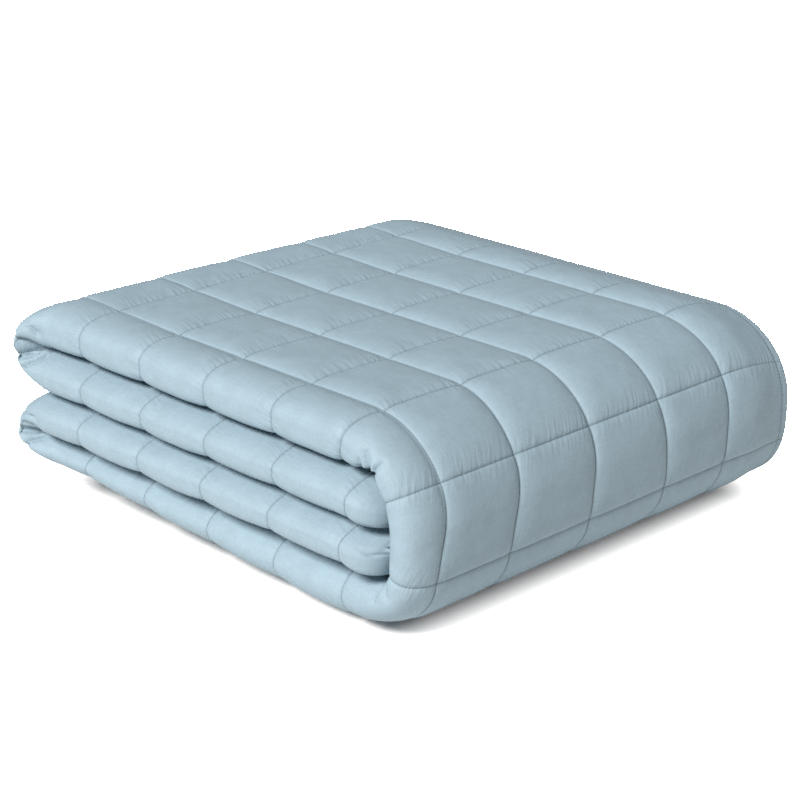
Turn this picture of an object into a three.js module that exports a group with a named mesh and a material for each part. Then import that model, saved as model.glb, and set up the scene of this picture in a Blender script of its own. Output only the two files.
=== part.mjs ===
import * as THREE from "three";

// A quilted bedspread, folded. It was first doubled along its length, so its fold makes the soft
// rounded front and its two hemmed edges lie at the back. Both ends of that strip were then folded
// in, and the whole was closed like a book: four layers, two bends at the left, one wide wrap at
// the right. It is one piece of cloth. All sizes are in millimetres and z = 0 is the surface
// it lies on.

// The quilting.
const SQUARE = 115; // seam to seam along the strip
const SQUARE_ACROSS = 116; // seam to seam across the strip
const DIP = 3.5; // how far a seam lies below the middle of the squares beside it
const FLAT_PART = 1 / 3; // the middle third of a square is level
const FRONT_SHARE = 0.6; // part of the foremost square that lies on the outer ply
const DIP_SHARE = 1 / 5; // the most of half a ply's thickness that a seam may take

// The cloth and its hems.
const GAP_HALF = 1.5; // half the space between the two plies
const FOLD_WALL = 20; // cloth between the front and the inside of the front fold
const FOLD_EASE = 8; // length over which that inside fold opens to its full gap
const HEM = 19; // width of the plain border outside the last seam
const HEM_DROP = 6; // how much lower a ply's face lies at its hem than on its squares
const HEM_DROP_SHARE = 1 / 3; // and the most of half its thickness that this may take
const HEM_PUFF = 3; // how far the middle of the border stands above its seam
const HEM_INSIDE = 5; // offset of the ply's inner face at the hem
const HEM_INSIDE_SHARE = 1 / 4; // and the most of half its thickness that this may take
const HEM_TAPER = 0.6; // squares over which a ply thins towards its hem
const END_HEM = { start: 0.28, end: 0.38 }; // the same border at the ends of the strip, in squares

// Rows of seams across the strip, on the outer ply and on the inner one.
const SQUARES_ACROSS = { outer: 6, inner: 5 };
const FIRST_SEAM = { outer: SQUARE_ACROSS, inner: 88 };

// Rows and sections of the surface, for each square. The rows on the rounded front are given as
// shares of the way from its foremost point to the first seam.
const ROWS = { outer: 3, inner: 2, inside: 1 };
const FRONT_ROWS = [0.75, 0.45, 0.2, 0.06];
const SECTIONS = { run: 3, wideTurn: 5, smallTurn: 11 };
const WIDE_TURN = 2; // squares in a turn that counts as wide
const END_SECTION = 1 / 6; // squares from an end seam to the next section
const SHORTEST_STEP = 0.02; // squares between two sections
const TINY_STEP = 1e-3; // squares to either side of a place, for the direction of the path there
const TOUCHING = 1e-9;

// The layers, from the surface they lie between. "out" is the outer ply's side, "in" the inner's.
// Depth and power shape the rounded front: a low power slopes gently, a high one is blunt.
const LAYERS = {
  top: {
    low: 190.5, high: 246, front: 53, outDepth: 60, outPower: 2.4, inDepth: 35, inPower: 3.5,
  },
  second: {
    low: 136.5, high: 189, front: 41, outDepth: 35, outPower: 3, inDepth: 80, inPower: 2,
  },
  third: {
    low: 83.5, high: 135, front: 37, outDepth: 80, outPower: 2, inDepth: 35, inPower: 3,
  },
  bottom: {
    low: 0, high: 82, front: 53, outDepth: 80, outPower: 2, inDepth: 80, inPower: 2,
  },
};

// The stretches of the strip in order, from one free end to the other. A run lies in one layer.
// A turn joins the runs before and after it: "reach" is how far its middle line goes out, "side"
// is -1 at the left and 1 at the right, "high" and "low" are the powers of its upper and lower
// half. "half" and "inner" are the outer and the inner ply there, from the middle line, and the
// front, depths and power are those of its rounded front. They hold at the middle of the turn.
// "pinch" is how much thinner the inner ply is squeezed in the turn's two inner corners. The first
// and last run thin down to "endHalf", half their thickness at the free end, over "endTaper" squares.
const STRETCHES = [
  { kind: "run", layer: "second", squares: 4.96, endHalf: 14, endTaper: 0.2 },
  {
    kind: "turn", squares: 0.75, side: -1, reach: 33, high: 2.3, low: 2.6,
    half: 26, inner: 20, pinch: 0, front: 34, depth: 60, inDepth: 60, inPower: 2.2,
  },
  { kind: "run", layer: "top", squares: 4.41 },
  {
    kind: "turn", squares: 3.3, side: 1, reach: 94, high: 2, low: 3.3,
    half: 27, inner: 17.5, pinch: 11, front: 58, depth: 52, inDepth: 38, inPower: 3.2,
  },
  { kind: "run", layer: "bottom", squares: 4.38 },
  {
    kind: "turn", squares: 0.87, side: -1, reach: 42, high: 2, low: 2,
    half: 30, inner: 20, pinch: 0, front: 38, depth: 50, inDepth: 50, inPower: 2.2,
  },
  { kind: "run", layer: "third", squares: 4.99, endHalf: 25, endTaper: 0.2 },
];
const START_X = 504.7; // the free end of the second layer, measured from the first seam on top
const START_SEAM = -6 - END_HEM.start; // that end's place in squares, so whole numbers are seams
const TURN_POWER = 2.2; // bluntness of the outer ply's front at the middle of a turn
const PINCH_AT = 0.26; // where the pinch is deepest, from the middle of the turn, as a share of it
const PINCH_LENGTH = 0.07; // how quickly it fades, in the same shares

// The free ends thin down towards the level where the second and third layers meet.
const MEETING_LEVEL = 135.75;
const MEETING_GAP = 1;
const END_POWER = 1.6;
const END_ROUND = 4; // how far the front is set back at the corner of a free end
const ROUND_LENGTH = 0.25; // squares

// Weight sinks the open back of the stack and draws the left bends in there. The lower bend and
// the left part of the bottom roll stand a little off the surface.
const BACK_START = 590;
const BACK_LENGTH = 125;
const BACK_SINK = 0.07; // share of the height lost at the very back
const BEND_LIFT = 4;
const BEND_LIFT_END = 190; // the x where it ends
const FRONT_LIFT = 36;
const FRONT_LIFT_END_X = 400;
const FRONT_LIFT_END_Y = 190;
const SAG = 8; // how far the hem of the bottom layer sags onto the surface
const LEFT_DRAW = 16; // how far the left bends are drawn in at the back

// The origin is the middle of the folded bedspread's footprint.
const MIDDLE_X = 217;
const MIDDLE_Y = 376;

const mix = (a, b, share) => a + (b - a) * share;
const ease = (t) => t * t * (3 - 2 * t);
const clamp = (t) => Math.min(1, Math.max(0, t));

// 1 on the level middle of a square and 0 at its seams, for a place counted in squares.
function pillow(place) {
  const toSeam = Math.abs(place - Math.round(place));
  return Math.sin((Math.min(1, toSeam / FLAT_PART) * Math.PI) / 2);
}

const middleOf = (layer) => (layer.low + layer.high) / 2;
const halfOf = (layer) => (layer.high - layer.low) / 2;

// Walks the stretches once and notes where each begins, in squares and in x.
function laidOut() {
  let place = START_SEAM;
  let x = START_X;
  let direction = -1;
  return STRETCHES.map((stretch, i) => {
    const laid = { ...stretch, first: place, startX: x, direction };
    place += stretch.squares;
    laid.last = place;
    if (stretch.kind === "run") {
      x += direction * stretch.squares * SQUARE;
      laid.from = LAYERS[stretch.layer];
      laid.to = laid.from;
    } else {
      direction = -direction;
      laid.from = LAYERS[STRETCHES[i - 1].layer];
      laid.to = LAYERS[STRETCHES[i + 1].layer];
    }
    return laid;
  });
}
const PATH = laidOut();
const END_SEAM = PATH[PATH.length - 1].last;

const stretchAt = (place) => PATH.find((s) => place <= s.last + TOUCHING) ?? PATH[PATH.length - 1];

// The middle line in the x-z plane. A turn is half a superellipse, rounder above than below.
function spine(place) {
  const s = stretchAt(place);
  if (s.kind === "run") {
    const x = s.startX + s.direction * (place - s.first) * SQUARE;
    return new THREE.Vector2(x, middleOf(s.from));
  }
  const angle = ((place - s.first) / s.squares) * Math.PI;
  const rise = (middleOf(s.to) - middleOf(s.from)) / 2;
  const isUpper = Math.sign(rise) * Math.cos(angle) < 0;
  const power = isUpper ? s.high : s.low;
  const wide = Math.abs(Math.sin(angle) / s.reach) ** power;
  const tall = Math.abs(Math.cos(angle) / rise) ** power;
  const radius = (wide + tall) ** (-1 / power);
  const x = s.startX + s.side * radius * Math.sin(angle);
  const z = (middleOf(s.from) + middleOf(s.to)) / 2 - Math.sign(rise) * radius * Math.cos(angle);
  return new THREE.Vector2(x, z);
}

// How far a place lies into the last stretch of a free end, from 0 to 1 at the very end.
function endShare(place, length) {
  const fromEnd = Math.min(place - START_SEAM, END_SEAM - place);
  return length > 0 ? clamp(1 - fromEnd / length) : 0;
}

// Everything the section needs at one place along the strip.
function stationAt(place) {
  const s = stretchAt(place);
  const share = s.kind === "run" ? 0 : (place - s.first) / s.squares;
  const bulge = Math.sin(Math.PI * share);
  const between = (key, middle) => {
    const plain = mix(s.from[key], s.to[key], ease(share));
    return s.kind === "run" ? plain : mix(plain, middle, bulge);
  };
  const half = mix(halfOf(s.from), halfOf(s.to), ease(share));
  const fromPinch = (Math.abs(share - 0.5) - PINCH_AT) / PINCH_LENGTH;
  const pinch = s.pinch * Math.exp(-fromPinch * fromPinch);
  const centre = spine(place);
  const back = spine(Math.max(START_SEAM, place - TINY_STEP));
  const ahead = spine(Math.min(END_SEAM, place + TINY_STEP));
  const along = ahead.sub(back).normalize();
  const station = {
    place,
    centre,
    // The outer ply lies on the left of someone who walks along the strip from its start.
    out: new THREE.Vector2(-along.y, along.x),
    outHalf: s.kind === "run" ? half : mix(half, s.half, bulge),
    inHalf: s.kind === "run" ? half : mix(half, s.inner, bulge) - pinch,
    front: between("front", s.front),
    outDepth: between("outDepth", s.depth),
    inDepth: between("inDepth", s.inDepth),
    outPower: between("outPower", TURN_POWER),
    inPower: between("inPower", s.inPower),
  };
  const thin = endShare(place, s.endTaper ?? 0);
  if (thin > 0) {
    const endHalf = mix(half, s.endHalf, thin ** END_POWER);
    const away = Math.sign(centre.y - MEETING_LEVEL);
    station.outHalf = endHalf;
    station.inHalf = endHalf;
    centre.y = MEETING_LEVEL + away * (MEETING_GAP + endHalf);
  }
  const rounding = endShare(place, ROUND_LENGTH);
  station.front += END_ROUND * (1 - Math.sqrt(1 - rounding * rounding));
  return station;
}

// One point of a ply's outside, as (y, offset from the middle line), for the ply "out" or "in".
function facePoint(station, ply, y) {
  const isOut = ply === "out";
  const half = isOut ? station.outHalf : station.inHalf;
  const depth = isOut ? station.outDepth : station.inDepth;
  const power = isOut ? station.outPower : station.inPower;
  const seam = isOut ? FIRST_SEAM.outer : FIRST_SEAM.inner;
  const squares = isOut ? SQUARES_ACROSS.outer - 1 : SQUARES_ACROSS.inner;
  const hemSeam = seam + squares * SQUARE_ACROSS;
  const q = clamp(1 - (y - station.front) / depth);
  const round = (1 - q ** power) ** (1 / power);
  const normal = new THREE.Vector2(-(q ** (power - 1)) / depth, round ** (power - 1) / half);
  normal.normalize();
  const frontSquare = isOut ? FRONT_SHARE : 1 - FRONT_SHARE;
  const across = y < seam
    ? (frontSquare * (seam - y)) / (seam - station.front)
    : (y - seam) / SQUARE_ACROSS;
  const taper = ease(clamp((y - hemSeam) / (HEM_TAPER * SQUARE_ACROSS) + 1));
  const pastStartSeam = (START_SEAM + END_HEM.start - station.place) / END_HEM.start;
  const pastEndSeam = (station.place - END_SEAM + END_HEM.end) / END_HEM.end;
  const endBorder = Math.max(pastStartSeam, pastEndSeam);
  const borderShare = Math.max(clamp(endBorder), clamp((y - hemSeam) / HEM));
  const border = HEM_PUFF * Math.sin(Math.PI * borderShare);
  const puff = y > hemSeam || endBorder > 0 ? 0 : pillow(station.place) * pillow(across);
  const dip = Math.min(DIP, half * DIP_SHARE) * (1 - puff) - border;
  const drop = Math.min(HEM_DROP, half * HEM_DROP_SHARE) * taper;
  const offset = half * round - drop - dip * normal.y;
  return { y: y - dip * normal.x, offset: isOut ? offset : -offset };
}

// The y of every row on the outside of a ply, from its hem to just short of the front.
function rowsOf(station, ply, perSquare) {
  const isOut = ply === "out";
  const seam = isOut ? FIRST_SEAM.outer : FIRST_SEAM.inner;
  const squares = isOut ? SQUARES_ACROSS.outer - 1 : SQUARES_ACROSS.inner;
  const hemSeam = seam + squares * SQUARE_ACROSS;
  const rows = [hemSeam + HEM, hemSeam + HEM / 2];
  for (let i = squares * perSquare; i >= 0; i--) rows.push(seam + (i * SQUARE_ACROSS) / perSquare);
  for (const share of FRONT_ROWS) rows.push(mix(station.front, seam, share));
  return rows;
}

// The inside of a ply, from the front fold to the hem, as (y, offset) points.
function insideOf(station, ply) {
  const sign = ply === "out" ? 1 : -1;
  const half = ply === "out" ? station.outHalf : station.inHalf;
  const atHem = sign * Math.min(HEM_INSIDE, half * HEM_INSIDE_SHARE);
  const rows = rowsOf(station, ply, ROWS.inside);
  const edge = rows[0];
  return [
    { y: station.front + FOLD_WALL + FOLD_EASE, offset: sign * GAP_HALF },
    { y: edge - HEM - HEM_TAPER * SQUARE_ACROSS, offset: sign * GAP_HALF },
    { y: edge - HEM, offset: atHem },
    { y: edge, offset: atHem },
  ];
}

// The closed outline of the doubled strip: round the outside, then back through the gap.
function outline(station) {
  const outer = rowsOf(station, "out", ROWS.outer).map((y) => facePoint(station, "out", y));
  const nose = { ...facePoint(station, "out", station.front), isNose: true };
  const inner = rowsOf(station, "in", ROWS.inner).map((y) => facePoint(station, "in", y));
  const fold = { y: station.front + FOLD_WALL, offset: 0, isFold: true };
  const inLining = insideOf(station, "in");
  return [...outer, nose, ...inner.reverse(), ...inLining.reverse(), fold, ...insideOf(station, "out")];
}

// A point of the outline set in space, with the sunk back and the lifted lower bend.
function inSpace(station, point) {
  const x = station.centre.x + station.out.x * point.offset;
  const level = station.centre.y + station.out.y * point.offset;
  const back = clamp((point.y - BACK_START) / BACK_LENGTH) ** 2;
  const bendLift = BEND_LIFT * clamp((BEND_LIFT_END - x) / (BEND_LIFT_END + SQUARE)) ** 2;
  const nearFront = clamp(1 - point.y / FRONT_LIFT_END_Y);
  const frontLift = FRONT_LIFT * nearFront * clamp(1 - x / FRONT_LIFT_END_X);
  const lift = (bendLift + frontLift - SAG * back) * clamp(1 - level / LAYERS.bottom.high);
  const drawn = LEFT_DRAW * clamp(-x / SQUARE) * clamp(point.y / BACK_START) ** 2;
  const z = Math.max(0, level * (1 - BACK_SINK * back) + lift);
  return [x + drawn - MIDDLE_X, point.y - MIDDLE_Y, z];
}

// The places of the sections. Every seam has one, and turns are finely stepped.
function places() {
  const startSeam = START_SEAM + END_HEM.start;
  const endSeam = END_SEAM - END_HEM.end;
  const found = new Set([
    START_SEAM, START_SEAM + END_HEM.start / 2, startSeam, startSeam + END_SECTION,
    endSeam - END_SECTION, endSeam, END_SEAM - END_HEM.end / 2, END_SEAM,
  ]);
  for (const s of PATH) {
    const inTurn = s.squares > WIDE_TURN ? SECTIONS.wideTurn : SECTIONS.smallTurn;
    const perSquare = s.kind === "run" ? SECTIONS.run : inTurn;
    const first = Math.ceil(s.first * perSquare);
    for (let i = first; i <= s.last * perSquare; i++) {
      const place = i / perSquare;
      if (place >= startSeam && place <= endSeam) found.add(place);
    }
    if (s.kind === "turn") found.add(s.first).add(s.last);
  }
  const sorted = [...found].sort((a, b) => a - b);
  return sorted.filter((place, i) => i === 0 || place - sorted[i - 1] > SHORTEST_STEP);
}

// Fills the space between two rows of points that both run from the hem to the front.
function zipped(section, first, second) {
  const faces = [];
  let i = 0;
  let j = 0;
  while (i < first.length - 1 || j < second.length - 1) {
    const firstIsNext = i < first.length - 1
      && (j === second.length - 1 || section[first[i + 1]].y > section[second[j + 1]].y);
    if (firstIsNext) {
      faces.push([first[i], first[i + 1], second[j]]);
      i++;
    } else {
      faces.push([first[i], second[j + 1], second[j]]);
      j++;
    }
  }
  return faces;
}

// The flat end of the strip: one zipped face for each ply, joined at the front fold.
function cap(section) {
  const span = (from, to) => {
    const way = Math.sign(to - from);
    return Array.from({ length: Math.abs(to - from) + 1 }, (_, k) => from + way * k);
  };
  const nose = section.indexOf(section.find((p) => p.isNose));
  const fold = section.indexOf(section.find((p) => p.isFold));
  const last = section.length - 1;
  const innerHem = fold - (last - fold);
  const outPly = zipped(section, span(0, nose), span(last, fold));
  const inPly = zipped(section, span(innerHem - 1, nose), span(innerHem, fold));
  return [...outPly, ...inPly.map(([a, b, c]) => [c, b, a])];
}

// Sweeps the outline along the strip and closes both ends.
function sweep() {
  const stations = places().map(stationAt);
  const outlines = stations.map(outline);
  const count = outlines[0].length;
  const points = outlines.flatMap((points, i) => points.map((p) => inSpace(stations[i], p)));
  const triangles = [];
  for (let i = 0; i + 1 < stations.length; i++) {
    for (let j = 0; j < count; j++) {
      const a = i * count + j;
      const b = i * count + ((j + 1) % count);
      triangles.push(a, b, b + count, a, b + count, a + count);
    }
  }
  triangles.push(...cap(outlines[0]).flatMap(([a, b, c]) => [c, b, a]));
  const last = (stations.length - 1) * count;
  triangles.push(...cap(outlines[stations.length - 1]).flat().map((k) => last + k));
  const geometry = new THREE.BufferGeometry();
  geometry.setAttribute("position", new THREE.BufferAttribute(new Float32Array(points.flat()), 3));
  geometry.setIndex(triangles);
  geometry.computeVertexNormals();
  return geometry;
}

const cloth = new THREE.MeshStandardMaterial({ color: 0x9fb4c0, roughness: 0.75, metalness: 0 });
const bedspread = new THREE.Mesh(sweep(), cloth);
bedspread.name = "quilted_bedspread";

const folded = new THREE.Group();
folded.add(bedspread);
export default folded;
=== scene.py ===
import math
import bpy
import numpy as np
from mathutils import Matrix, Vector


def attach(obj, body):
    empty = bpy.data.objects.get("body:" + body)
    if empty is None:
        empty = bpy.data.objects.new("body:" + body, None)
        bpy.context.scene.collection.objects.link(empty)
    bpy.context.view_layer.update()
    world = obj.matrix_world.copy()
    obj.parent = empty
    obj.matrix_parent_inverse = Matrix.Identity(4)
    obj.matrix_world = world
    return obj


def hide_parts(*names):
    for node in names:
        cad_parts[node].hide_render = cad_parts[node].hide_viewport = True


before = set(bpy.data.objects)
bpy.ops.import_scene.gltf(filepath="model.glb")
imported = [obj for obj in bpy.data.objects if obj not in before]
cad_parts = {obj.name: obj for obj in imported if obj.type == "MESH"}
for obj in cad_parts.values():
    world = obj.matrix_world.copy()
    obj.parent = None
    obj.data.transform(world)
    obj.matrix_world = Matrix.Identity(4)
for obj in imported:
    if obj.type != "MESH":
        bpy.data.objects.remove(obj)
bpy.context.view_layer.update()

# The camera, at the photograph's angle: it looks down a little at the corner between the rolled
# front and the wrapped side. Its place is in metres in the part's frame, its angles in degrees.
CAMERA_AT = (1.7510, -1.7069, 1.0310)
CAMERA_AZIMUTH = 45.754
CAMERA_ELEVATION = 20.458
SENSOR = 36.0
LENS = 95.55

azimuth, elevation = math.radians(CAMERA_AZIMUTH), math.radians(CAMERA_ELEVATION)
outward = math.cos(elevation)
to_camera = Vector((math.sin(azimuth) * outward, -math.cos(azimuth) * outward, math.sin(elevation)))
camera = bpy.data.objects.new("camera", bpy.data.cameras.new("camera"))
bpy.context.collection.objects.link(camera)
camera.location = CAMERA_AT
camera.rotation_mode = "QUATERNION"
camera.rotation_quaternion = (-to_camera).to_track_quat("-Z", "Y")
camera.data.sensor_width = SENSOR
camera.data.lens = LENS
bpy.context.scene.camera = camera


# The quilted cloth: cotton face and backing with wadding between them, sewn through in squares and
# hemmed all round. It was doubled along its length, folded four layers high, and lies loose.

# The surface is a grid over two flat coordinates, both counted in squares: "place" along the strip
# from one free end to the other, and "across" it from hem to hem. Sizes are in millimetres, and
# lengths along the strip in squares.
SQUARE = 115.0
SQUARE_ACROSS = 116.0
GAP_HALF = 1.5
FOLD_WALL = 20.0
FOLD_EASE = 8.0
HEM = 19.0
HEM_DROP = 6.0
HEM_PUFF = 1.2
HEM_INSIDE = 5.0
HEM_TAPER = 0.6
HEM_ROUND = 9.0
START_HEM = 0.34
END_HEM = 0.38
END_ROUNDING = 0.05

# The doubled strip's outer and inner ply: the first seam behind the front, and the squares to the hem.
OUTER_SEAM = 116.0
INNER_SEAM = 88.0
OUTER_SQUARES = 5
INNER_SQUARES = 5
OUTER_HEM_SEAM = OUTER_SEAM + OUTER_SQUARES * SQUARE_ACROSS
INNER_HEM_SEAM = INNER_SEAM + INNER_SQUARES * SQUARE_ACROSS

# Each layer: its faces, its front edge, and the depth and power of the rounded front's two sides.
LAYERS = {
    "top": dict(low=190.5, high=246, front=53, out_depth=60, out_power=2.4, in_depth=35, in_power=3.5),
    "second": dict(low=136.5, high=189, front=41, out_depth=35, out_power=3, in_depth=80, in_power=2),
    "third": dict(low=83.5, high=135, front=37, out_depth=80, out_power=2, in_depth=35, in_power=3),
    "bottom": dict(low=0, high=82, front=53, out_depth=80, out_power=2, in_depth=80, in_power=2),
}
# The stretches from one free end to the other, with the grid's columns per square in each.
STRETCHES = [
    dict(kind="run", layer="second", squares=5.02, end_half=20, columns=20),
    dict(kind="turn", side=-1, squares=0.75, reach=41, high=2.3, low=2.6, half=18, inner=38,
         front=34, depth=48, in_depth=84, in_power=1.3, columns=72),
    dict(kind="run", layer="top", squares=4.41, columns=32),
    dict(kind="turn", side=1, squares=3.3, reach=94, high=2, low=3.3, half=27, inner=17.5,
         pinch=(16, 3), front=58, depth=52, in_depth=38, in_power=3.2, columns=34),
    dict(kind="run", layer="bottom", squares=4.38, columns=20),
    dict(kind="turn", side=-1, squares=0.87, reach=52, high=2, low=2, half=20, inner=42,
         front=38, depth=42, in_depth=68, in_power=1.3, columns=72),
    dict(kind="run", layer="third", squares=4.99, end_half=25, columns=20),
]
START_X = 511.6
START = -6 - START_HEM
TURN_POWER = 2.2
PINCH_AT = 0.26
PINCH_LENGTH = 0.07
TOUCH = 0.6

# The free ends taper to the level where the two tucked layers meet, and are set back at the front.
MEETING_LEVEL = 135.75
MEETING_GAP = 1.0
END_TAPER = 0.2
END_POWER = 1.6
END_SET_BACK = 38.0
SET_BACK_LENGTH = 0.32

# The back sinks, the underside lifts at the left bends and at the front corner, and the left bends
# draw in towards the back.
BACK_START = 590.0
BACK_LENGTH = 125.0
BACK_SINK = 0.07
BEND_LIFT = 4.0
BEND_LIFT_END = 190.0
FRONT_LIFT = 36.0
FRONT_LIFT_END_X = 400.0
FRONT_LIFT_END_Y = 190.0
SAG = 8.0
LEFT_DRAW = 16.0

# What the strip's own x and y are less in the part's frame.
MIDDLE_X = 217.0
MIDDLE_Y = 376.0


def mix(a, b, share):
    """From a to b, straight, by the share."""
    return a + (b - a) * share


def ease(t):
    """From 0 to 1 with level ends: three times the square less twice the cube."""
    return t * t * (3 - 2 * t)


def clamp(t):
    """Held between 0 and 1."""
    return np.clip(t, 0, 1)


def laid_out():
    """The stretches with where each begins, in squares and in x."""
    place, x, direction, path = START, START_X, -1, []
    for i, stretch in enumerate(STRETCHES):
        laid = dict(stretch, first=place, last=place + stretch["squares"], start_x=x, way=direction)
        place = laid["last"]
        if stretch["kind"] == "run":
            x += direction * stretch["squares"] * SQUARE
            laid["from"] = laid["to"] = LAYERS[stretch["layer"]]
        else:
            direction = -direction
            laid["from"] = LAYERS[STRETCHES[i - 1]["layer"]]
            laid["to"] = LAYERS[STRETCHES[i + 1]["layer"]]
        path.append(laid)
    return path


PATH = laid_out()
END = PATH[-1]["last"]


def middle_of(layer):
    """Level of a layer's middle: the mean of its two faces."""
    return (layer["low"] + layer["high"]) / 2


def half_of(layer):
    """Half of a layer's thickness."""
    return (layer["high"] - layer["low"]) / 2


def spine(place):
    """The middle line: straight in a run, half a superellipse in a turn."""
    x, z = np.zeros_like(place), np.zeros_like(place)
    for s in PATH:
        here = (place >= s["first"] - 1e-6) & (place <= s["last"] + 1e-6)
        along = place[here] - s["first"]
        if s["kind"] == "run":
            x[here] = s["start_x"] + s["way"] * along * SQUARE
            z[here] = middle_of(s["from"])
            continue
        angle = along / s["squares"] * math.pi
        rise = (middle_of(s["to"]) - middle_of(s["from"])) / 2
        upper = np.sign(rise) * np.cos(angle) < 0
        power = np.where(upper, s["high"], s["low"])
        shape = (np.abs(np.sin(angle)) / s["reach"]) ** power + np.abs(np.cos(angle) / rise) ** power
        radius = shape ** (-1 / power)
        x[here] = s["start_x"] + s["side"] * radius * np.sin(angle)
        centre = (middle_of(s["from"]) + middle_of(s["to"])) / 2
        z[here] = centre - np.sign(rise) * radius * np.cos(angle)
    return x, z


def stations(place):
    """For each place: the middle point, the way out square to the line, and the section's sizes.

    In a turn, each size goes from one layer's to the next by an ease, and half a sine adds the
    turn's own size at its middle. A bell curve draws in the inner ply beside the wrap's corners.
    """
    names = ["out_half", "in_half", "front", "out_depth", "in_depth", "out_power", "in_power", "inner"]
    st = {name: np.zeros_like(place) for name in names}
    st["place"] = place
    st["x"], st["z"] = spine(place)
    ahead, behind = spine(np.minimum(place + 1e-3, END)), spine(np.maximum(place - 1e-3, START))
    dx, dz = ahead[0] - behind[0], ahead[1] - behind[1]
    st["out_x"], st["out_z"] = -dz / np.hypot(dx, dz), dx / np.hypot(dx, dz)
    for s in PATH:
        here = (place >= s["first"] - 1e-6) & (place <= s["last"] + 1e-6)
        is_run = s["kind"] == "run"
        share = (place[here] - s["first"]) / s["squares"] * (not is_run)
        bulge = np.sin(math.pi * share)
        pinch = np.where(share < 0.5, *s.get("pinch", (0, 0)))
        pinch = pinch * np.exp(-((np.abs(share - 0.5) - PINCH_AT) / PINCH_LENGTH) ** 2)
        half = mix(half_of(s["from"]), half_of(s["to"]), ease(share))
        mids = dict(
            front=s.get("front", 0), out_depth=s.get("depth", 0), out_power=TURN_POWER,
            in_depth=s.get("in_depth", s.get("depth", 0)), in_power=s.get("in_power", TURN_POWER),
        )
        for name, mid in mids.items():
            plain = mix(s["from"][name], s["to"][name], ease(share))
            st[name][here] = mix(plain, mid, bulge)
        if s.get("side") == -1:
            st["inner"][here] = (middle_of(s["from"]) + middle_of(s["to"])) / 2
        st["out_half"][here] = mix(half, s.get("half", 0), bulge)
        st["in_half"][here] = mix(half, s.get("inner", 0), bulge) - pinch
        if "end_half" in s:
            thin = clamp(1 - np.minimum(place[here] - START, END - place[here]) / END_TAPER)
            end = mix(half, s["end_half"], thin**END_POWER)
            away = np.sign(middle_of(s["from"]) - MEETING_LEVEL)
            tapered = thin > 0
            for name in ("out_half", "in_half"):
                st[name][here] = np.where(tapered, end, st[name][here])
            st["z"][here] = np.where(tapered, MEETING_LEVEL + away * (MEETING_GAP + end), st["z"][here])
    rounding = clamp(1 - np.minimum(place - START, END - place) / SET_BACK_LENGTH)
    st["front"] += END_SET_BACK * (1 - np.sqrt(1 - rounding**2))
    return {name: value[:, None] for name, value in st.items()}


def outside(st, y, is_out):
    """Offset of a ply's outside from the middle line: a superellipse at the rounded front, less an
    eased step where the cloth thins towards its hem."""
    half = np.where(is_out, st["out_half"], st["in_half"])
    depth = np.where(is_out, st["out_depth"], st["in_depth"])
    power = np.where(is_out, st["out_power"], st["in_power"])
    hem_seam = np.where(is_out, OUTER_HEM_SEAM, INNER_HEM_SEAM)
    q = clamp(1 - (y - st["front"]) / depth)
    taper = ease(clamp((y - hem_seam) / (HEM_TAPER * SQUARE_ACROSS) + 1))
    offset = half * (1 - q**power) ** (1 / power) - np.minimum(HEM_DROP, half / 3) * taper
    return np.where(is_out, offset, -offset)


def inside(st, y, is_out):
    """Offset of a ply's inside, and the y it has there: half the gap between the plies, straight to
    the hem's own gap, and closing to nothing at the fold, a wall's thickness behind the front."""
    half = np.where(is_out, st["out_half"], st["in_half"])
    hem_seam = np.where(is_out, OUTER_HEM_SEAM, INNER_HEM_SEAM)
    fold = st["front"] + FOLD_WALL
    taper = clamp((y - hem_seam) / (HEM_TAPER * SQUARE_ACROSS) + 1)
    gap = mix(GAP_HALF, np.minimum(HEM_INSIDE, half / 4), taper)
    gap = gap * clamp((y - fold) / FOLD_EASE)
    return np.where(is_out, gap, -gap), np.maximum(y, fold)


# Rows of the grid: in each square, at the rounded front, round the hem's edge and on the inside.
OUTER_ROWS = 34
OUTER_PULL = 0.78
INNER_ROWS = 8
INNER_PULL = 0.5
OUTER_FRONT_ROWS = 32
INNER_FRONT_ROWS = 24
HEM_ANGLES = [90, 70, 52, 35, 18, 0]
INSIDE_STEP = 70


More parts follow.
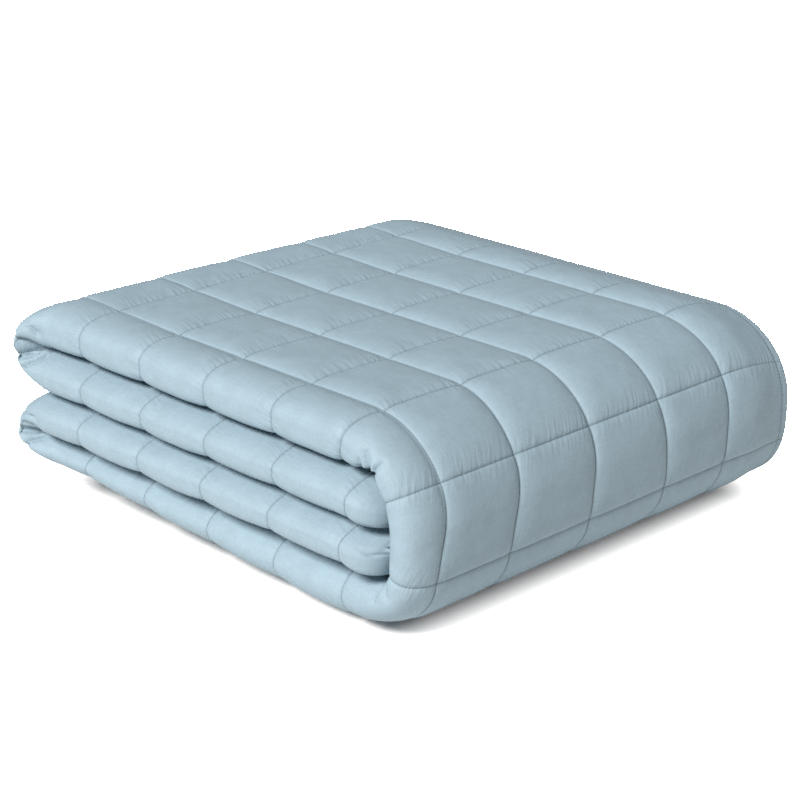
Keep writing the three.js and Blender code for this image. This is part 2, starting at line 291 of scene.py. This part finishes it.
def section_rows(st):
    """y of every row, for the outside from hem to hem and back through the inside.

    In the squares the rows are drawn to the seams by a sine, and at the front they lie denser
    towards the very edge by a cube.
    """
    def clustered(squares, count, pull):
        """Even steps less a sine with one wave in each square."""
        t = np.arange(squares * count + 1) / count
        return t - pull / (2 * math.pi) * np.sin(2 * math.pi * t)

    border = HEM - HEM_ROUND * (1 - np.sin(np.radians(HEM_ANGLES)))
    border = np.concatenate([border, [HEM * 0.3, HEM * 0.15]])
    ones = np.ones_like(st["front"])
    outer_back = OUTER_SEAM + SQUARE_ACROSS * clustered(OUTER_SQUARES, OUTER_ROWS, OUTER_PULL)[::-1]
    inner_back = INNER_SEAM + SQUARE_ACROSS * clustered(INNER_SQUARES, INNER_ROWS, INNER_PULL)
    outer_front = (np.arange(OUTER_FRONT_ROWS - 1, -1, -1) / OUTER_FRONT_ROWS) ** 3
    inner_front = (np.arange(1, INNER_FRONT_ROWS + 1) / INNER_FRONT_ROWS) ** 3
    out_y = [(OUTER_HEM_SEAM + border) * ones, outer_back * ones,
             mix(st["front"], OUTER_SEAM, outer_front)]
    in_y = [mix(st["front"], INNER_SEAM, inner_front), inner_back[1:] * ones,
            (INNER_HEM_SEAM + border[::-1]) * ones]
    fold = st["front"] + FOLD_WALL
    eased = np.array([0.25, 0.5, 1.0]) * FOLD_EASE

    def inside_rows(hem_seam):
        """Even steps just in front of the hem's seam, and wider ones from there to the front."""
        return (np.linspace(hem_seam, hem_seam - INSIDE_STEP, 5) * ones,
                np.linspace(hem_seam - 2 * INSIDE_STEP, 2 * INSIDE_STEP, 9) * ones)

    by_hem, between = inside_rows(INNER_HEM_SEAM)
    inner_inside = np.concatenate([(INNER_HEM_SEAM + border[1:]) * ones, by_hem, between,
                                   fold + eased[::-1]], axis=1)
    by_hem, between = inside_rows(OUTER_HEM_SEAM)
    outer_inside = np.concatenate([fold + eased, between[:, ::-1], by_hem[:, ::-1],
                                   (OUTER_HEM_SEAM + border[:0:-1]) * ones], axis=1)
    out_y, in_y = np.concatenate(out_y, axis=1), np.concatenate(in_y, axis=1)
    return out_y, in_y, inner_inside, fold, outer_inside


def kept_apart(st, level, offset):
    """In a bend, the two inner faces end at the level where they meet."""
    upper = st["z"] > st["inner"]
    above, below = np.maximum(level, st["inner"] + TOUCH), np.minimum(level, st["inner"] - TOUCH)
    apart = np.where(upper, above, below)
    return np.where((st["inner"] > 0) & (offset < 0), apart, level)


def in_space(st, y, offset):
    """Points in millimetres: the middle line plus the offset along the way out. Squares of y and x
    sink the back and draw in and lift the left bends, and a product of both lifts the front."""
    x = st["x"] + st["out_x"] * offset
    level = kept_apart(st, st["z"] + st["out_z"] * offset, offset)
    back = clamp((y - BACK_START) / BACK_LENGTH) ** 2
    bend_lift = BEND_LIFT * clamp((BEND_LIFT_END - x) / (BEND_LIFT_END + SQUARE)) ** 2
    front_lift = FRONT_LIFT * clamp(1 - y / FRONT_LIFT_END_Y) * clamp(1 - x / FRONT_LIFT_END_X)
    lift = (bend_lift + front_lift - SAG * back) * clamp(1 - level / LAYERS["bottom"]["high"])
    drawn = LEFT_DRAW * clamp(-x / SQUARE) * clamp(y / BACK_START) ** 2
    z = np.maximum(0, level * (1 - BACK_SINK * back) + lift)
    return np.stack([x + drawn - MIDDLE_X, y - MIDDLE_Y, z], axis=-1)


# Columns of the grid: in each end's hem, and per square where the wrap's inner corners gather.
HEM_COLUMNS = 12
GATHERED = [(4.2, 4.8), (5.98, 6.7)]
GATHERED_COLUMNS = 90
SEAM_PULL = 0.72
CLOSEST = 0.003


def columns():
    """The places of the grid's columns: drawn to the seams by a sine, each seam exactly on one."""
    found = [START, END]
    found += [START + k * START_HEM / HEM_COLUMNS for k in range(1, HEM_COLUMNS + 1)]
    found += [END - k * END_HEM / HEM_COLUMNS for k in range(1, HEM_COLUMNS + 1)]
    for s in PATH:
        n = s["columns"]
        w = np.arange(math.ceil(s["first"] * n), math.floor(s["last"] * n) + 1) / n
        pull = SEAM_PULL if n < 50 else 0.0
        w = w - pull / (2 * math.pi) * np.sin(2 * math.pi * w)
        found += list(w[(w > START + START_HEM) & (w < END - END_HEM)])
    for first, last in GATHERED:
        found = [w for w in found if w < first or w > last]
        found += list(np.linspace(first, last, round((last - first) * GATHERED_COLUMNS) + 1))
    found = np.unique(np.round(found, 6))
    keep = np.concatenate([[True], np.diff(found) > CLOSEST])
    whole = np.abs(found - np.round(found)) < 1e-6
    return found[keep | whole]


place = columns()
st = stations(place)
out_y, in_y, inner_inside, fold, outer_inside = section_rows(st)
outside_y = np.concatenate([out_y, in_y], axis=1)
is_out = np.arange(outside_y.shape[1])[None, :] < out_y.shape[1]
inside_y = np.concatenate([inner_inside, fold, outer_inside], axis=1)
inside_is_out = np.arange(inside_y.shape[1])[None, :] > inner_inside.shape[1]


def edge_closing(y, is_out):
    """1 on the cloth and 0 at the hem's very edge, along a quarter circle."""
    edge = np.where(is_out, OUTER_HEM_SEAM, INNER_HEM_SEAM) + HEM
    t = clamp((y - edge + HEM_ROUND) / HEM_ROUND)
    return np.sqrt(1 - t**2)


def end_closing(st):
    """The same quarter circle at the free ends of the strip."""
    t = clamp(1 - np.minimum(st["place"] - START, END - st["place"]) / END_ROUNDING)
    return np.maximum(0.02, np.sqrt(1 - t**2))


def closed(st, y, is_out, wants_outside):
    """The ply's outside or inside, drawn to the mean of the two by both quarter circles, at the
    hems and at the free ends."""
    face = outside(st, y, is_out)
    lining, lining_y = inside(st, y, is_out)
    middle = (face + lining) / 2
    chosen, chosen_y = (face, y) if wants_outside else (lining, lining_y)
    return middle + (chosen - middle) * edge_closing(y, is_out) * end_closing(st), chosen_y


# On the wrap the seams run a little askew: towards the front (-) or the back (+), in millimetres,
# at the seams across its height and at each row from the front edge to the hem.
DRIFT_ROWS = [60, 116, 232, 348, 464, 580, 696]
DRIFT = {
    # place: drift at each of those rows
    5: [0, 0, -4, 2, 5, 8, 0],
    6: [0, -17, -21, -7, 8, 3, 0],
    7: [0, -17, -21, -7, 8, 3, 0],
}


def drifted(place, y):
    """y moved by the table above, eased between its places and straight between its rows."""
    moved = y
    for at, drift in DRIFT.items():
        moved = moved + ease(clamp(1 - np.abs(place - at))) * np.interp(y, DRIFT_ROWS, drift)
    return moved


straight_y = outside_y
outside_y = np.where(is_out, drifted(st["place"], outside_y), outside_y)
offset, section_y = closed(st, outside_y, is_out, True)
skin = in_space(st, section_y, offset)
fold_column = np.arange(inside_y.shape[1])[None, :] == inner_inside.shape[1]
lining_offset, lining_y = closed(st, np.where(fold_column, st["front"], inside_y), inside_is_out, False)
lining = in_space(st, lining_y, lining_offset)

# The flat coordinate across: straight by y, and by the way along the section in the foremost square.
step = np.hypot(np.diff(section_y, axis=1), np.diff(offset, axis=1))
way = np.concatenate([np.zeros((len(place), 1)), np.cumsum(step, axis=1)], axis=1)
last_out = out_y.shape[1] - OUTER_FRONT_ROWS - 1
first_in = out_y.shape[1] + INNER_FRONT_ROWS - 1
way_out, way_in = way[:, last_out:last_out + 1], way[:, first_in:first_in + 1]
front_way = (way - way_out) / (way_in - way_out)
across = np.where(is_out, (straight_y - OUTER_SEAM) / SQUARE_ACROSS,
                  -1 - (straight_y - INNER_SEAM) / SQUARE_ACROSS)
row = np.arange(outside_y.shape[1])[None, :]
across = np.where((row >= last_out) & (row <= first_in), -front_way, across)
inside_across = np.where(inside_is_out, (inside_y - OUTER_SEAM) / SQUARE_ACROSS,
                         -1 - (inside_y - INNER_SEAM) / SQUARE_ACROSS)


def noise(u, v, seed):
    """Smooth random values from -1 to 1: one for each whole point of the plane, eased between."""
    table = np.random.default_rng(seed).uniform(-1, 1, (128, 128))
    i, j = np.floor(u).astype(int), np.floor(v).astype(int)
    s, t = ease(u - i), ease(v - j)
    i, j, i2, j2 = i % 128, j % 128, (i + 1) % 128, (j + 1) % 128
    return mix(mix(table[i, j], table[i2, j], s), mix(table[i, j2], table[i2, j2], s), t)


def normals_of(points):
    """Unit normals of a grid of points: the cross product of its steps in the two directions."""
    normal = np.cross(np.gradient(points, axis=0), np.gradient(points, axis=1))
    return normal / np.maximum(np.linalg.norm(normal, axis=-1, keepdims=True), 1e-9)


# The padding, in millimetres and squares: how high the crests stand over the smooth surface, how
# deep and how wide the seams are drawn in, and the stitched line in their bottom.
CREST = 0.6
SEAM_DEPTH_ALONG = 6.4
SEAM_DEPTH_ACROSS = 3.5
SEAM_REACH = 0.045
ROUND_SHARE = 0.65
LEAN_LEVEL = 1.18
LEAN_REACH = 0.12
GROOVE_DEPTH = 1.3
GROOVE_REACH = 0.016
HEM_STRETCH = 0.7
HEM_CALM = 0.6
UNEVEN = [(1.7, 0.8, 3), (4.3, 0.35, 4)]  # waves in a square, height, seed
UNEVEN_HEM = 0.3
# How deep the long seams are, as (place, share): on top in full, and pressed flatter underneath.
SETTLED = [(-1.4, 0.3), (-0.3, 0.3), (0.8, 1), (5, 1), (6.2, 0.35), (17, 0.35)]


def leaning(t):
    """0 at a seam, 1 at the crest: an exponential rise behind each seam, less a mix of two powers
    that falls gently to the next one."""
    part = t - np.floor(t)
    return LEAN_LEVEL * (1 - np.exp(-part / LEAN_REACH) - mix(part**1.6, part**9, 0.45))


def puffed(t):
    """0 at a seam and 1 midway: an exponential rise beside the seam, with a round crest."""
    to_seam = np.abs(t - np.round(t))
    rise = (1 - np.exp(-to_seam / SEAM_REACH)) / (1 - math.exp(-0.5 / SEAM_REACH))
    return mix(rise, 1 - (1 - 2 * to_seam) ** 2, ROUND_SHARE)


def groove(t):
    """1 in the stitched line and 0 away from it: two exponential flanks."""
    return np.exp(-np.abs(t - np.round(t)) / GROOVE_REACH)


def relief(place, across):
    """Height over the smooth surface: the crest less the root of the two seams' squared depths and
    less the stitched line, half a sine's root on the hems, and smooth noise."""
    puff_place, puff_across = puffed(place), leaning(across)
    border = np.maximum(clamp((np.abs(across + 0.5) - 5.5) * SQUARE_ACROSS / HEM),
                        np.maximum(clamp((START + START_HEM - place) / START_HEM),
                                   clamp((place - END + END_HEM) / END_HEM)))
    is_border = border > 0
    stretched = 1 - HEM_STRETCH * ease(clamp(np.abs(across + 0.5) - 4.5))
    settled = np.interp(place, *zip(*SETTLED))
    at_hem = 1 - HEM_CALM * ease(clamp(2 * np.abs(across + 0.5) - 10))
    dip = np.hypot(SEAM_DEPTH_ALONG * settled * at_hem * (1 - puff_across),
                   SEAM_DEPTH_ACROSS * stretched * (1 - puff_place))
    dip += GROOVE_DEPTH * np.maximum(groove(place), groove(across)) * stretched
    height = CREST - np.where(is_border, SEAM_DEPTH_ACROSS, dip)
    height += np.where(is_border, HEM_PUFF * np.sqrt(np.sin(np.pi * border)), 0)
    soft = sum(noise(place * scale, across * scale, seed) * high for scale, high, seed in UNEVEN)
    return height + soft * np.where(is_border, UNEVEN_HEM, np.minimum(puff_place, puff_across))


# The normals point out of the cloth, and where the inner ply is pressed thin its relief is lower.
OUTER_PLY_ROW = 60
FULL_HALF = 20
PRESSED_SHARE = 0.4
normal = normals_of(skin)
if np.sum(normal[:, OUTER_PLY_ROW, 2] * st["out_z"][:, 0]) < 0:
    normal = -normal
height = relief(st["place"], across)
height *= np.clip(st["in_half"] / FULL_HALF, PRESSED_SHARE, 1) ** (~is_out)
height *= edge_closing(straight_y, is_out) * end_closing(st)

# Gathers and creases where the cloth turns sharply: at both left bends, and in the inner corners
# of the wrap.
CREASES = [
    # depth and half width in millimetres, then the line's points as (place, across)
    (6.0, 2.8, [(-0.62, -0.645), (-0.66, -0.60), (-0.72, -0.545), (-0.77, -0.45)]),
    (7.5, 2.8, [(-0.80, -0.82), (-0.85, -0.73), (-0.88, -0.66), (-0.886, -0.60), (-0.88, -0.50),
                (-0.875, -0.43)]),
    (7.5, 3.0, [(-1.08, -0.82), (-1.06, -0.73), (-1.03, -0.65), (-1.01, -0.58), (-1.005, -0.53),
                (-1.0, -0.49)]),
    (7.0, 2.8, [(-1.25, -0.86), (-1.214, -0.777), (-1.147, -0.671), (-1.11, -0.58), (-1.095, -0.52)]),
    (2.0, 1.8, [(-0.60, -0.65), (-0.646, -0.555), (-0.69, -0.44)]),
    (5.5, 2.8, [(12.30, -0.62), (12.24, -0.59), (12.15, -0.565), (12.08, -0.50), (12.06, -0.43)]),
    (6.5, 2.8, [(12.22, -0.82), (12.16, -0.74), (12.10, -0.68), (12.068, -0.64), (12.05, -0.56)]),
    (6.5, 2.8, [(11.97, -0.82), (11.96, -0.72), (11.958, -0.633), (11.957, -0.56), (11.955, -0.46)]),
    (6.5, 2.8, [(11.78, -0.82), (11.80, -0.73), (11.82, -0.666), (11.806, -0.554), (11.80, -0.46)]),
    (5.0, 4.5, [(4.42, -0.90), (4.395, -0.755), (4.383, -0.675), (4.344, -0.60)]),
    (6.5, 4.5, [(4.56, -0.90), (4.522, -0.70), (4.462, -0.606), (4.393, -0.536), (4.375, -0.47)]),
    (6.0, 3.6, [(4.62, -0.90), (4.605, -0.66), (4.597, -0.577), (4.60, -0.48)]),
    (7.0, 4.2, [(6.28, -0.98), (6.31, -0.82), (6.40, -0.725), (6.45, -0.62), (6.46, -0.56)]),
    (4.0, 3.6, [(6.10, -0.92), (6.16, -0.76), (6.18, -0.676), (6.22, -0.58), (6.24, -0.50)]),
    (3.5, 2.6, [(-6.33, -0.42), (-6.26, -0.45), (-6.18, -0.49)]),
    (3.5, 2.6, [(17.37, -0.56), (17.30, -0.52), (17.22, -0.48)]),
]
CREASE_WINDOW = 0.14
CREASE_STEP = 0.05


def creased(skin):
    """Depth of the creases: an exponential trough by the distance in space from each line, which
    rises from a third of its depth at its first end and fades by a cube to its last."""
    depth_map = np.zeros(skin.shape[:2])
    for depth, width, line in CREASES:
        at = np.array(line)
        fine = np.arange(0, len(at) - 1 + 1e-9, CREASE_STEP)
        at = np.stack([np.interp(fine, np.arange(len(at)), at[:, k]) for k in (0, 1)], axis=-1)
        nearest = np.abs(place - at[:, :1]).argmin(axis=1)
        spots = skin[nearest, np.abs(across[nearest] - at[:, 1:]).argmin(axis=1)]
        block = np.where((place > at[:, 0].min() - CREASE_WINDOW)
                         & (place < at[:, 0].max() + CREASE_WINDOW))[0]
        front_rows = np.where((across[block[0]] > -1.3) & (across[block[0]] < 0.2))[0]
        window = np.ix_(block, front_rows)
        near = skin[window]
        far = np.linalg.norm(near[:, :, None] - spots, axis=-1)
        closest = far.argmin(axis=-1)
        d = far.min(axis=-1) / width
        share = np.linspace(0, 1, len(spots))[closest]
        fade = (1 - share**3) * ease(clamp(0.3 + share / 0.25))
        trough = np.exp(-d**1.3)
        depth_map[window] = np.maximum(depth_map[window], depth * fade * trough)
    return depth_map


height -= creased(skin)
puffy = skin + normal * height[..., None]


# The ends of the second and third layers are tucked into the wrap and sag there at the front.
TUCK_SAG = 9.0
TUCK_LENGTH = 0.55
TUCK_FRONT = 100
TUCK_FADE = 150
PLEATED_FRONT = 200
near_front = ease(clamp(1 - (section_y - TUCK_FRONT) / TUCK_FADE))
from_end = np.minimum(st["place"] - START, END - st["place"])
puffy[..., 2] -= TUCK_SAG * near_front * ease(clamp(1 - from_end / TUCK_LENGTH))
puffy[..., 2] = np.maximum(puffy[..., 2], 0)
puffy[..., 2] = kept_apart(st, puffy[..., 2], np.where(section_y < PLEATED_FRONT, offset, 1.0))

rows = outside_y.shape[1] + inside_y.shape[1]
count = len(place)
points = np.concatenate([puffy, lining], axis=1).reshape(-1, 3) * 0.001
flat = np.concatenate([np.stack([st["place"] + 0 * across, across], axis=-1),
                       np.stack([st["place"] + 0 * inside_across, inside_across], axis=-1)], axis=1)
flat = flat.reshape(-1, 2)


def grid_faces(count, rows):
    """Quads of a grid that is closed on itself across its rows."""
    i, j = np.meshgrid(np.arange(count - 1), np.arange(rows), indexing="ij")
    a, b = i * rows + j, i * rows + (j + 1) % rows
    return np.stack([a, b, b + rows, a + rows], axis=-1).reshape(-1, 4)


def cap_faces(base, skin_across, lining_across, flip):
    """Triangles that close a free end of the strip: each step of the outside goes to the point of
    the inside that is nearest across, and each step of the inside to the outside's nearest."""
    n = len(skin_across)
    lining_index = base + n + np.arange(len(lining_across))[::-1]
    lining_across = lining_across[::-1]
    skin_mid = (skin_across[1:] + skin_across[:-1]) / 2
    lining_mid = (lining_across[1:] + lining_across[:-1]) / 2
    partner = np.searchsorted(-lining_mid, -skin_mid)
    j = base + np.arange(n - 1)
    first = np.stack([j, j + 1, lining_index[partner]], axis=-1)
    partner = np.searchsorted(-skin_mid, -lining_mid)
    second = np.stack([lining_index[:-1], base + partner, lining_index[1:]], axis=-1)
    faces = np.concatenate([first, second])
    return faces[:, ::-1] if flip else faces


def mesh_object(name, points, quads, triangles, flat=None):
    """A smooth-shaded mesh object with an optional UV map in squares."""
    mesh = bpy.data.meshes.new(name)
    sizes = np.concatenate([np.full(len(quads), 4), np.full(len(triangles), 3)])
    corners = np.concatenate([quads.ravel(), triangles.ravel()]).astype(np.int32)
    mesh.vertices.add(len(points))
    mesh.vertices.foreach_set("co", points.astype(np.float32).ravel())
    mesh.loops.add(len(corners))
    mesh.loops.foreach_set("vertex_index", corners)
    mesh.polygons.add(len(sizes))
    starts = np.concatenate([[0], np.cumsum(sizes)[:-1]])
    mesh.polygons.foreach_set("loop_start", starts.astype(np.int32))
    mesh.polygons.foreach_set("use_smooth", np.ones(len(sizes), dtype=bool))
    if flat is not None:
        layer = mesh.uv_layers.new(name="squares")
        layer.data.foreach_set("uv", flat[corners].astype(np.float32).ravel())
    mesh.update(calc_edges=True)
    mesh.validate()
    piece = bpy.data.objects.new(name, mesh)
    bpy.context.collection.objects.link(piece)
    return piece


quads = grid_faces(count, rows)
caps = np.concatenate([
    cap_faces(0, across[0], inside_across[0], True),
    cap_faces((count - 1) * rows, across[-1], inside_across[-1], False),
])
cloth = mesh_object("quilted_cloth", points, quads, caps, flat)


# The face: closely woven cotton in a pale grey-blue, matt, with the padding's puckers and a fine
# uneven yarn. Depths are in metres.
COTTON = (0.256, 0.357, 0.424)
COTTON_ROUGHNESS = 0.7
COTTON_SPECULAR = 0.6
RELIEF_STRENGTH = 0.7
RELIEF_DEPTH = 0.002
WRINKLE_SHARE = 0.6
SLUB_SHARE = 0.16
# Streaks in a square along the strip and across it, their slant, and their detail.
PUCKER_STREAKS = (3.5, 21.0, 6.0, 1.5)
WRINKLE_STREAKS = (2.2, 3.4, 1.4, 3.0)
LONG_SLUBS = (7.0, 55.0, 0.0, 2.0)
CROSS_SLUBS = (55.0, 7.0, 0.0, 2.0)
TONE_CLOUDS = (5.0, 5.0, 0.0, 4.0)


def fabric(name):
    """Matt cotton with puckers beside the seams, soft wrinkles, slubs, and painted shade that darkens
    the base colour along the seam lines.
    """
    material = bpy.data.materials.new(name)
    material.use_nodes = True
    nodes, links = material.node_tree.nodes, material.node_tree.links
    shader = nodes["Principled BSDF"]
    shader.inputs["Roughness"].default_value = COTTON_ROUGHNESS
    shader.inputs["Specular IOR Level"].default_value = COTTON_SPECULAR

    def math_node(kind, a, b=0.0, c=0.0):
        """A math node fed by numbers or by other nodes."""
        node = nodes.new("ShaderNodeMath")
        node.operation = kind
        for socket, value in zip(node.inputs, (a, b, c)):
            if isinstance(value, (int, float)):
                socket.default_value = value
            else:
                links.new(value, socket)
        return node.outputs[0]

    uv = nodes.new("ShaderNodeUVMap")
    uv.uv_map = "squares"
    parts = nodes.new("ShaderNodeSeparateXYZ")
    links.new(uv.outputs[0], parts.inputs[0])
    u, v = parts.outputs[0], parts.outputs[1]

    def streaks(scale_u, scale_v, slant, detail):
        """Noise over the flat coordinates, stretched by the two scales and slanted."""
        join = nodes.new("ShaderNodeCombineXYZ")
        links.new(math_node("MULTIPLY", u, scale_u), join.inputs[0])
        skew = math_node("MULTIPLY_ADD", u, slant, math_node("MULTIPLY", v, scale_v))
        links.new(skew, join.inputs[1])
        texture = nodes.new("ShaderNodeTexNoise")
        texture.inputs["Scale"].default_value = 1.0
        texture.inputs["Detail"].default_value = detail
        links.new(join.outputs[0], texture.inputs["Vector"])
        return texture.outputs[0]

    def ramp(value, start, end, low=0.0, high=1.0):
        """From low to high with level ends, while the value goes from start to end."""
        node = nodes.new("ShaderNodeMapRange")
        node.interpolation_type = "SMOOTHSTEP"
        settings = dict(zip(("From Min", "From Max", "To Min", "To Max"), (start, end, low, high)))
        for key, number in settings.items():
            node.inputs[key].default_value = number
        links.new(value, node.inputs["Value"])
        return node.outputs[0]

    def from_seam(coordinate):
        """Squares to the nearest seam: a zigzag of the coordinate."""
        return math_node("PINGPONG", coordinate, 0.5)

    # Puckers are streaks at right angles to the seams across the strip, on both sides of them.
    # Slubs are thicker yarns, along and across the cloth.
    along = math_node("FRACT", u)
    mask = math_node("ADD", ramp(along, 0.66, 0.98), ramp(along, 0.24, 0.02, 0.0, 0.8))
    puckers = math_node("MULTIPLY", streaks(*PUCKER_STREAKS), mask)
    wrinkles = streaks(*WRINKLE_STREAKS)
    slubs = math_node("ADD", streaks(*LONG_SLUBS), streaks(*CROSS_SLUBS))
    height = math_node("MULTIPLY_ADD", wrinkles, WRINKLE_SHARE, puckers)
    height = math_node("MULTIPLY_ADD", slubs, SLUB_SHARE, height)
    bump = nodes.new("ShaderNodeBump")
    bump.inputs["Strength"].default_value = RELIEF_STRENGTH
    bump.inputs["Distance"].default_value = RELIEF_DEPTH
    links.new(height, bump.inputs["Height"])
    links.new(bump.outputs[0], shader.inputs["Normal"])

    # Painted shade: the base colour is darker along the seam lines, most along the seams that run along
    # the strip, and stands in for the shade in their grooves. The cloth's tone also varies slightly.
    line = math_node("MULTIPLY", ramp(from_seam(u), 0.003, 0.012, 0.72, 1.0),
                     ramp(from_seam(v), 0.003, 0.014, 0.55, 1.0))
    tone = math_node("MULTIPLY", ramp(slubs, 0.6, 1.4, 0.955, 1.045),
                     ramp(streaks(*TONE_CLOUDS), 0.2, 0.8, 0.96, 1.04))
    tint = nodes.new("ShaderNodeVectorMath")
    tint.operation = "SCALE"
    tint.inputs[0].default_value = COTTON
    links.new(math_node("MULTIPLY", tone, line), tint.inputs["Scale"])
    links.new(tint.outputs[0], shader.inputs["Base Color"])
    return material


cloth.data.materials.append(fabric("quilted_cotton"))
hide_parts("quilted_bedspread")
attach(cloth, "root")


# The stitching: a lockstitch in thread a little darker than the cloth, sewn along every seam in
# both directions. Each stitch is a small spindle whose two ends sink into the cloth.
STITCH_PITCH = 4.2
STITCH_LENGTH = 3.1
STITCH_WIDTH = 0.9
STITCH_LIFT = 0.25
STITCH_SINK = 0.35
THREAD = (0.18, 0.27, 0.33, 1)
THREAD_ROUGHNESS = 0.5


def stitches_on(line, up):
    """Spindles at even steps of length along a line: two low ends, and a ring of four points."""
    step = np.linalg.norm(np.diff(line, axis=0), axis=1)
    way = np.concatenate([[0], np.cumsum(step)])
    centre = np.arange(STITCH_PITCH / 2, way[-1], STITCH_PITCH)

    def at(s, values):
        """The values at the lengths s, straight between the line's points."""
        return np.stack([np.interp(s, way, values[:, k]) for k in range(3)], axis=-1)

    middle, top = at(centre, line), at(centre, up)
    top /= np.linalg.norm(top, axis=1, keepdims=True)
    ahead = at(centre + 0.5, line) - at(centre - 0.5, line)
    ahead /= np.maximum(np.linalg.norm(ahead, axis=1, keepdims=True), 1e-9)
    side = np.cross(top, ahead)
    half, wide = STITCH_LENGTH / 2, STITCH_WIDTH / 2
    lifted = middle + top * STITCH_LIFT
    ends = [lifted - ahead * half - top * STITCH_SINK, lifted + ahead * half - top * STITCH_SINK]
    ring = [lifted + side * wide, lifted + top * wide, lifted - side * wide, lifted - top * wide]
    return np.stack(ends + ring, axis=1).reshape(-1, 3)


SPINDLE = np.array([[0, 3, 2], [0, 4, 3], [0, 5, 4], [0, 2, 5],
                    [1, 2, 3], [1, 3, 4], [1, 4, 5], [1, 5, 2]])
row_across = across[0]
whole_rows = [int(np.argmin(np.abs(row_across - k))) for k in range(-6, 6)]
whole_columns = [int(np.argmin(np.abs(place - k))) for k in range(-6, 18)]
keep = (place > START + START_HEM / 2) & (place < END - END_HEM / 2)
in_hems = (row_across < 5.08) & (row_across > -6.08)
parts = [stitches_on(puffy[keep, row], normal[keep, row]) for row in whole_rows]
parts += [stitches_on(puffy[column][in_hems], normal[column][in_hems]) for column in whole_columns]
spindles = np.concatenate(parts) * 0.001
number = len(spindles) // 6
faces = (SPINDLE[None] + 6 * np.arange(number)[:, None, None]).reshape(-1, 3)
thread = mesh_object("stitches", spindles, np.zeros((0, 4), int), faces)

sewing = bpy.data.materials.new("sewing_thread")
sewing.use_nodes = True
sewing_shader = sewing.node_tree.nodes["Principled BSDF"]
sewing_shader.inputs["Base Color"].default_value = THREAD
sewing_shader.inputs["Roughness"].default_value = THREAD_ROUGHNESS
thread.data.materials.append(sewing)
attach(thread, "root")


# The floor: the studio's seamless white paper. It is overexposed but for a narrow soft shadow, so
# for the lens it shines by its own light, more with the distance from the cloth's footprint.
FLOOR_HALF = 30
FLOOR_COLOUR = (0.90, 0.885, 0.87, 1)
FLOOR_ROUGHNESS = 0.9
FLOOR_SHINE = (1.0, 0.985, 0.97, 1)
FOOTPRINT = (0.262, 0.27, 0.0)
SHADOW_WIDTH = 0.055
SHADOW_POWER = 1.5

corner = np.array([[-1, -1, 0], [1, -1, 0], [1, 1, 0], [-1, 1, 0]], float)
floor = mesh_object("floor", FLOOR_HALF * corner, np.array([[0, 1, 2, 3]]), np.zeros((0, 3), int))
paper = bpy.data.materials.new("floor")
paper.use_nodes = True
paper_nodes, paper_links = paper.node_tree.nodes, paper.node_tree.links
paper_shader = paper_nodes["Principled BSDF"]
paper_shader.inputs["Base Color"].default_value = FLOOR_COLOUR
paper_shader.inputs["Roughness"].default_value = FLOOR_ROUGHNESS
paper_shader.inputs["Emission Color"].default_value = FLOOR_SHINE


def paper_node(kind, operation, *sources):
    """A math or vector node of the floor's paint, fed by numbers, vectors or other nodes."""
    node = paper_nodes.new(kind)
    node.operation = operation
    for socket, source in zip(node.inputs, sources):
        if isinstance(source, (float, tuple)):
            socket.default_value = source
        else:
            paper_links.new(source, socket)
    return node.outputs["Value" if operation == "LENGTH" else 0]


spot = paper_nodes.new("ShaderNodeTexCoord").outputs["Object"]
beyond = paper_node("ShaderNodeVectorMath", "ABSOLUTE", spot)
beyond = paper_node("ShaderNodeVectorMath", "SUBTRACT", beyond, FOOTPRINT)
beyond = paper_node("ShaderNodeVectorMath", "MAXIMUM", beyond, (0.0, 0.0, 0.0))
distance = paper_node("ShaderNodeVectorMath", "LENGTH", beyond)
share = paper_node("ShaderNodeMath", "DIVIDE", distance, SHADOW_WIDTH)
share = paper_node("ShaderNodeMath", "POWER", share, SHADOW_POWER)
seen = paper_nodes.new("ShaderNodeLightPath").outputs["Is Camera Ray"]
shine = paper_node("ShaderNodeMath", "MULTIPLY", seen, share)
paper_links.new(shine, paper_shader.inputs["Emission Strength"])
floor.data.materials.append(paper)


# The light: one wide soft lamp, high in front of the rolls, so that each roll shades the gap below
# it and the wrapped side is lit by the floor, and a pale room all round.
ROOM_POWER = 0.23
LAMP_FROM = (0.10, -0.73, 0.68)
LAMP_POWER = 4.8
LAMP_SOFTNESS = 18
LAMP_COLOUR = (1.0, 0.96, 0.925)

room = bpy.data.worlds.new("studio")
room.use_nodes = True
room.node_tree.nodes["Background"].inputs["Color"].default_value = (1, 1, 1, 1)
room.node_tree.nodes["Background"].inputs["Strength"].default_value = ROOM_POWER
bpy.context.scene.world = room

lamp = bpy.data.objects.new("key", bpy.data.lights.new("key", "SUN"))
lamp.data.energy = LAMP_POWER
lamp.data.angle = math.radians(LAMP_SOFTNESS)
lamp.data.color = LAMP_COLOUR
bpy.context.collection.objects.link(lamp)
lamp.rotation_mode = "QUATERNION"
lamp.rotation_quaternion = Vector(LAMP_FROM).to_track_quat("Z", "Y")
bpy.context.scene.view_settings.view_transform = "Standard"
